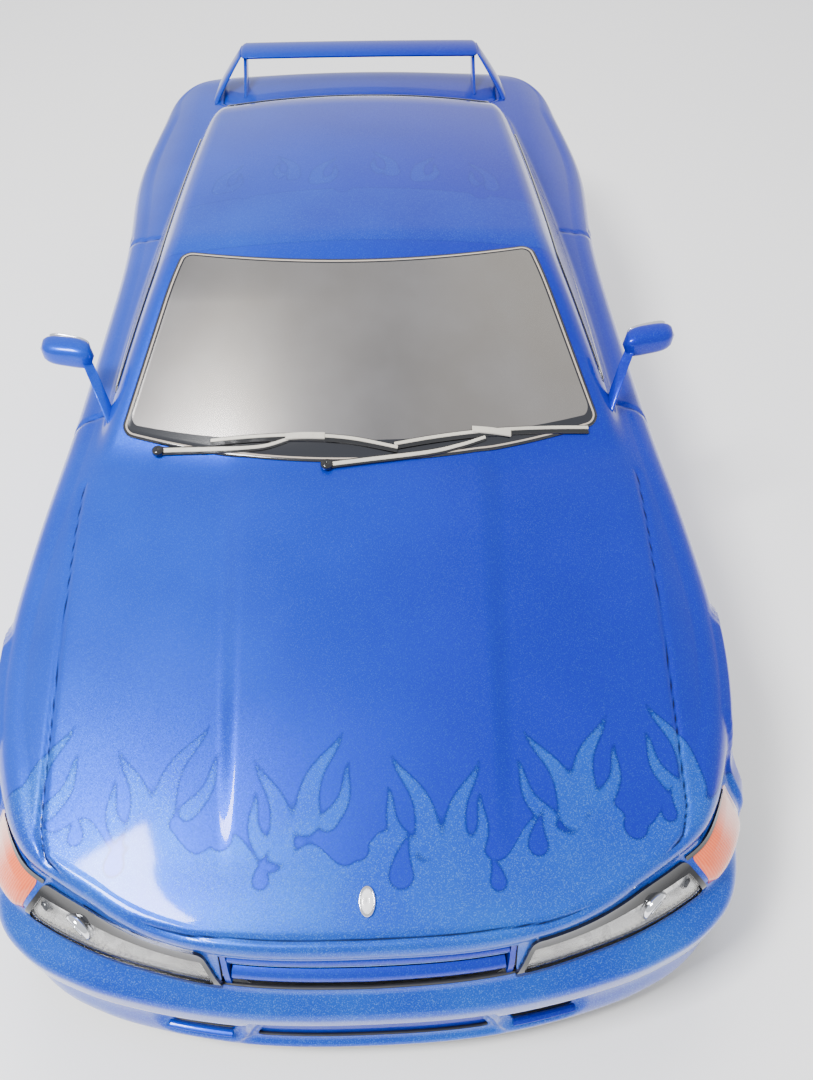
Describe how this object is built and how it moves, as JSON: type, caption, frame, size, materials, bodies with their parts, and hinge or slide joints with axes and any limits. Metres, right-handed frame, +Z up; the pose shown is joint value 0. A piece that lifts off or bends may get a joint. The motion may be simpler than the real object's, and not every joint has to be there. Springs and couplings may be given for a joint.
{
  "type": "radio-controlled drift car",
  "caption": "Scale radio-controlled drift car: lift-off painted coupe shell with wing over a rear-drive chassis that steers, rolls and is sprung on dampers.",
  "frame": {"origin": "on the ground, under the middle of the car's length and width", "axes": "+Z up; +Y towards the tail, so the nose points along -Y; +X towards the side that is on the right when the car is seen from the front"},
  "size_m": [0.206, 0.44, 0.125],
  "materials": {
    "candy_blue_paint": "glossy metallic candy blue over clear polycarbonate",
    "window_film": "glossy silver-grey film",
    "lamp_lens": "clear lens over a bright reflector, with orange and red parts",
    "grille_trim": "painted bars and black backing",
    "magnet_steel": "nickel-plated disc",
    "carbon_plate": "woven carbon-fibre sheet",
    "black_nylon": "moulded nylon",
    "motor_can": "machined can",
    "battery_wrap": "hard plastic case",
    "electronics_case": "moulded case",
    "servo_case": "moulded case",
    "bumper_foam": "closed-cell foam",
    "zinc_steel": "plated",
    "wire_insulation": "silicone insulation",
    "red_spring": "powder-coated spring wire",
    "gear_brass": "machined",
    "satin_aluminium": "satin anodised",
    "rim_silver": "bright metallic moulding",
    "tyre_rubber": "hard plastic drift compound",
    "damper_aluminium": "satin anodised",
    "damper_steel": "polished"
  },
  "bodies": {
    "chassis": {"chassis_plate": "carbon_plate", "upper_deck": "carbon_plate", "bulkheads": "black_nylon", "shock_towers": "carbon_plate", "motor": "motor_can", "battery": "battery_wrap", "speed_controller": "electronics_case", "receiver": "electronics_case", "steering_servo": "servo_case", "front_bumper": "bumper_foam", "body_posts": "black_nylon", "pins_and_screws": "zinc_steel", "wiring": "wire_insulation", "coil_springs": "red_spring"},
    "shell": {"body_shell": "candy_blue_paint", "windows": "window_film", "lamps": "lamp_lens", "grille_and_badge": "grille_trim", "door_mirrors": "candy_blue_paint", "rear_wing": "candy_blue_paint", "shell_magnets": "magnet_steel"},
    "servo_saver": {"servo_saver": "black_nylon"},
    "spool": {"spool_gear": "black_nylon"},
    "pinion": {"motor_pinion": "gear_brass"},
    "tie_rod_left": {"tie_rod_left": "zinc_steel"},
    "front_lower_arm_left": {"front_lower_arm_left": "black_nylon"},
    "front_upper_link_left": {"front_upper_link_left": "black_nylon"},
    "front_hub_carrier_left": {"front_hub_carrier_left": "black_nylon"},
    "front_damper_body_left": {"front_damper_body_left": "damper_aluminium"},
    "front_damper_shaft_left": {"front_damper_shaft_left": "damper_steel"},
    "steering_knuckle_left": {"steering_knuckle_left": "satin_aluminium"},
    "front_wheel_left": {"front_rim_left": "rim_silver", "front_tyre_left": "tyre_rubber"},
    "rear_lower_arm_left": {"rear_lower_arm_left": "black_nylon"},
    "rear_upper_link_left": {"rear_upper_link_left": "black_nylon"},
    "rear_hub_carrier_left": {"rear_hub_carrier_left": "black_nylon"},
    "rear_damper_body_left": {"rear_damper_body_left": "damper_aluminium"},
    "rear_damper_shaft_left": {"rear_damper_shaft_left": "damper_steel"},
    "rear_wheel_left": {"rear_axle_left": "zinc_steel", "rear_rim_left": "rim_silver", "rear_tyre_left": "tyre_rubber"},
    "drive_shaft_left": {"drive_shaft_left": "zinc_steel"},
    "tie_rod_right": {"tie_rod_right": "zinc_steel"},
    "front_lower_arm_right": {"front_lower_arm_right": "black_nylon"},
    "front_upper_link_right": {"front_upper_link_right": "black_nylon"},
    "front_hub_carrier_right": {"front_hub_carrier_right": "black_nylon"},
    "front_damper_body_right": {"front_damper_body_right": "damper_aluminium"},
    "front_damper_shaft_right": {"front_damper_shaft_right": "damper_steel"},
    "steering_knuckle_right": {"steering_knuckle_right": "satin_aluminium"},
    "front_wheel_right": {"front_rim_right": "rim_silver", "front_tyre_right": "tyre_rubber"},
    "rear_lower_arm_right": {"rear_lower_arm_right": "black_nylon"},
    "rear_upper_link_right": {"rear_upper_link_right": "black_nylon"},
    "rear_hub_carrier_right": {"rear_hub_carrier_right": "black_nylon"},
    "rear_damper_body_right": {"rear_damper_body_right": "damper_aluminium"},
    "rear_damper_shaft_right": {"rear_damper_shaft_right": "damper_steel"},
    "rear_wheel_right": {"rear_axle_right": "zinc_steel", "rear_rim_right": "rim_silver", "rear_tyre_right": "tyre_rubber"},
    "drive_shaft_right": {"drive_shaft_right": "zinc_steel"}
  },
  "joints": [
    {"name": "shell_lift", "type": "slide", "parent": "chassis", "child": "shell", "axis": [0, 0, 1], "range_m": [0, 0.15]},
    {"name": "servo_turn", "type": "hinge", "parent": "chassis", "child": "servo_saver", "pos_m": [0, -0.136, 0.032], "axis": [0, 0, 1], "range_deg": [-35, 35]},
    {"name": "spool_spin", "type": "hinge", "parent": "chassis", "child": "spool", "pos_m": [0, 0.121, 0.031], "axis": [1, 0, 0], "continuous": true},
    {"name": "pinion_spin", "type": "hinge", "parent": "chassis", "child": "pinion", "pos_m": [0, 0.09027, 0.03642], "axis": [1, 0, 0], "continuous": true},
    {"name": "front_arm_left", "type": "hinge", "parent": "chassis", "child": "front_lower_arm_left", "pos_m": [-0.024, -0.136, 0.016], "axis": [0, -1, 0], "range_deg": [-4.5, 4.5], "stiffness_Nm_per_rad": 2, "springref_deg": 2.41},
    {"name": "front_link_left", "type": "hinge", "parent": "chassis", "child": "front_upper_link_left", "pos_m": [-0.024, -0.136, 0.046], "axis": [0, -1, 0], "range_deg": [-4.6, 4.6]},
    {"name": "front_carrier_left", "type": "hinge", "parent": "front_lower_arm_left", "child": "front_hub_carrier_left", "pos_m": [-0.058, -0.136, 0.016], "axis": [0, -1, 0], "range_deg": [-4.6, 4.6]},
    {"name": "front_damper_tilt_left", "type": "hinge", "parent": "chassis", "child": "front_damper_body_left", "pos_m": [-0.034, -0.149, 0.066], "axis": [0, -1, 0], "range_deg": [-0.6, 0.6]},
    {"name": "front_damper_stroke_left", "type": "slide", "parent": "front_damper_body_left", "child": "front_damper_shaft_left", "axis": [-0.3285, 0, -0.9445], "range_m": [-0.0022, 0.0022], "deforming": ["coil_springs"]},
    {"name": "steer_left", "type": "hinge", "parent": "front_hub_carrier_left", "child": "steering_knuckle_left", "pos_m": [-0.063, -0.136, 0.031], "axis": [0, 0, 1], "range_deg": [-35, 35]},
    {"name": "front_wheel_spin_left", "type": "hinge", "parent": "steering_knuckle_left", "child": "front_wheel_left", "pos_m": [-0.084, -0.136, 0.031], "axis": [1, 0, 0], "continuous": true},
    {"name": "rear_arm_left", "type": "hinge", "parent": "chassis", "child": "rear_lower_arm_left", "pos_m": [-0.024, 0.121, 0.016], "axis": [0, -1, 0], "range_deg": [-4.5, 4.5], "stiffness_Nm_per_rad": 2, "springref_deg": 2.41},
    {"name": "rear_link_left", "type": "hinge", "parent": "chassis", "child": "rear_upper_link_left", "pos_m": [-0.024, 0.121, 0.046], "axis": [0, -1, 0], "range_deg": [-4.6, 4.6]},
    {"name": "rear_carrier_left", "type": "hinge", "parent": "rear_lower_arm_left", "child": "rear_hub_carrier_left", "pos_m": [-0.058, 0.121, 0.016], "axis": [0, -1, 0], "range_deg": [-4.6, 4.6]},
    {"name": "rear_damper_tilt_left", "type": "hinge", "parent": "chassis", "child": "rear_damper_body_left", "pos_m": [-0.034, 0.134, 0.066], "axis": [0, -1, 0], "range_deg": [-0.6, 0.6]},
    {"name": "rear_damper_stroke_left", "type": "slide", "parent": "rear_damper_body_left", "child": "rear_damper_shaft_left", "axis": [-0.3285, 0, -0.9445], "range_m": [-0.0022, 0.0022], "deforming": ["coil_springs"]},
    {"name": "rear_wheel_spin_left", "type": "hinge", "parent": "rear_hub_carrier_left", "child": "rear_wheel_left", "pos_m": [-0.086, 0.121, 0.031], "axis": [1, 0, 0], "continuous": true},
    {"name": "drive_shaft_spin_left", "type": "hinge", "parent": "rear_lower_arm_left", "child": "drive_shaft_left", "pos_m": [-0.04, 0.121, 0.031], "axis": [1, 0, 0], "continuous": true},
    {"name": "front_arm_right", "type": "hinge", "parent": "chassis", "child": "front_lower_arm_right", "pos_m": [0.024, -0.136, 0.016], "axis": [0, 1, 0], "range_deg": [-4.5, 4.5], "stiffness_Nm_per_rad": 2, "springref_deg": 2.41},
    {"name": "front_link_right", "type": "hinge", "parent": "chassis", "child": "front_upper_link_right", "pos_m": [0.024, -0.136, 0.046], "axis": [0, 1, 0], "range_deg": [-4.6, 4.6]},
    {"name": "front_carrier_right", "type": "hinge", "parent": "front_lower_arm_right", "child": "front_hub_carrier_right", "pos_m": [0.058, -0.136, 0.016], "axis": [0, 1, 0], "range_deg": [-4.6, 4.6]},
    {"name": "front_damper_tilt_right", "type": "hinge", "parent": "chassis", "child": "front_damper_body_right", "pos_m": [0.034, -0.149, 0.066], "axis": [0, 1, 0], "range_deg": [-0.6, 0.6]},
    {"name": "front_damper_stroke_right", "type": "slide", "parent": "front_damper_body_right", "child": "front_damper_shaft_right", "axis": [0.3285, 0, -0.9445], "range_m": [-0.0022, 0.0022], "deforming": ["coil_springs"]},
    {"name": "steer_right", "type": "hinge", "parent": "front_hub_carrier_right", "child": "steering_knuckle_right", "pos_m": [0.063, -0.136, 0.031], "axis": [0, 0, 1], "range_deg": [-35, 35]},
    {"name": "front_wheel_spin_right", "type": "hinge", "parent": "steering_knuckle_right", "child": "front_wheel_right", "pos_m": [0.084, -0.136, 0.031], "axis": [1, 0, 0], "continuous": true},
    {"name": "rear_arm_right", "type": "hinge", "parent": "chassis", "child": "rear_lower_arm_right", "pos_m": [0.024, 0.121, 0.016], "axis": [0, 1, 0], "range_deg": [-4.5, 4.5], "stiffness_Nm_per_rad": 2, "springref_deg": 2.41},
    {"name": "rear_link_right", "type": "hinge", "parent": "chassis", "child": "rear_upper_link_right", "pos_m": [0.024, 0.121, 0.046], "axis": [0, 1, 0], "range_deg": [-4.6, 4.6]},
    {"name": "rear_carrier_right", "type": "hinge", "parent": "rear_lower_arm_right", "child": "rear_hub_carrier_right", "pos_m": [0.058, 0.121, 0.016], "axis": [0, 1, 0], "range_deg": [-4.6, 4.6]},
    {"name": "rear_damper_tilt_right", "type": "hinge", "parent": "chassis", "child": "rear_damper_body_right", "pos_m": [0.034, 0.134, 0.066], "axis": [0, 1, 0], "range_deg": [-0.6, 0.6]},
    {"name": "rear_damper_stroke_right", "type": "slide", "parent": "rear_damper_body_right", "child": "rear_damper_shaft_right", "axis": [0.3285, 0, -0.9445], "range_m": [-0.0022, 0.0022], "deforming": ["coil_springs"]},
    {"name": "rear_wheel_spin_right", "type": "hinge", "parent": "rear_hub_carrier_right", "child": "rear_wheel_right", "pos_m": [0.086, 0.121, 0.031], "axis": [1, 0, 0], "continuous": true},
    {"name": "drive_shaft_spin_right", "type": "hinge", "parent": "rear_lower_arm_right", "child": "drive_shaft_right", "pos_m": [0.04, 0.121, 0.031], "axis": [1, 0, 0], "continuous": true},
    {"name": "tie_rod_turn_left", "type": "hinge", "parent": "servo_saver", "child": "tie_rod_left", "pos_m": [-0.004, -0.118, 0.039], "axis": [0, 0, 1], "range_deg": [-35, 35]},
    {"name": "tie_rod_turn_right", "type": "hinge", "parent": "servo_saver", "child": "tie_rod_right", "pos_m": [0.004, -0.118, 0.039], "axis": [0, 0, 1], "range_deg": [-35, 35]}
  ],
  "couplings": [
    {"joint": "pinion_spin", "follows": "spool_spin", "ratio": -3},
    {"joint": "front_link_left", "follows": "front_arm_left", "ratio": 1},
    {"joint": "front_carrier_left", "follows": "front_arm_left", "ratio": -1},
    {"joint": "front_damper_tilt_left", "follows": "front_arm_left", "ratio": 0.09732},
    {"joint": "front_damper_stroke_left", "follows": "front_arm_left", "m_per_rad": 0.025859},
    {"joint": "rear_link_left", "follows": "rear_arm_left", "ratio": 1},
    {"joint": "rear_carrier_left", "follows": "rear_arm_left", "ratio": -1},
    {"joint": "rear_damper_tilt_left", "follows": "rear_arm_left", "ratio": 0.09732},
    {"joint": "rear_damper_stroke_left", "follows": "rear_arm_left", "m_per_rad": 0.025859},
    {"joint": "rear_wheel_spin_left", "follows": "spool_spin", "ratio": 1},
    {"joint": "drive_shaft_spin_left", "follows": "spool_spin", "ratio": 1},
    {"joint": "front_link_right", "follows": "front_arm_right", "ratio": 1},
    {"joint": "front_carrier_right", "follows": "front_arm_right", "ratio": -1},
    {"joint": "front_damper_tilt_right", "follows": "front_arm_right", "ratio": 0.09732},
    {"joint": "front_damper_stroke_right", "follows": "front_arm_right", "m_per_rad": 0.025859},
    {"joint": "rear_link_right", "follows": "rear_arm_right", "ratio": 1},
    {"joint": "rear_carrier_right", "follows": "rear_arm_right", "ratio": -1},
    {"joint": "rear_damper_tilt_right", "follows": "rear_arm_right", "ratio": 0.09732},
    {"joint": "rear_damper_stroke_right", "follows": "rear_arm_right", "m_per_rad": 0.025859},
    {"joint": "rear_wheel_spin_right", "follows": "spool_spin", "ratio": 1},
    {"joint": "drive_shaft_spin_right", "follows": "spool_spin", "ratio": 1},
    {"joint": "steer_right", "follows": "steer_left", "ratio": 1},
    {"joint": "servo_turn", "follows": "steer_left", "ratio": 1},
    {"joint": "tie_rod_turn_left", "follows": "steer_left", "ratio": -1},
    {"joint": "tie_rod_turn_right", "follows": "steer_left", "ratio": -1}
  ]
}
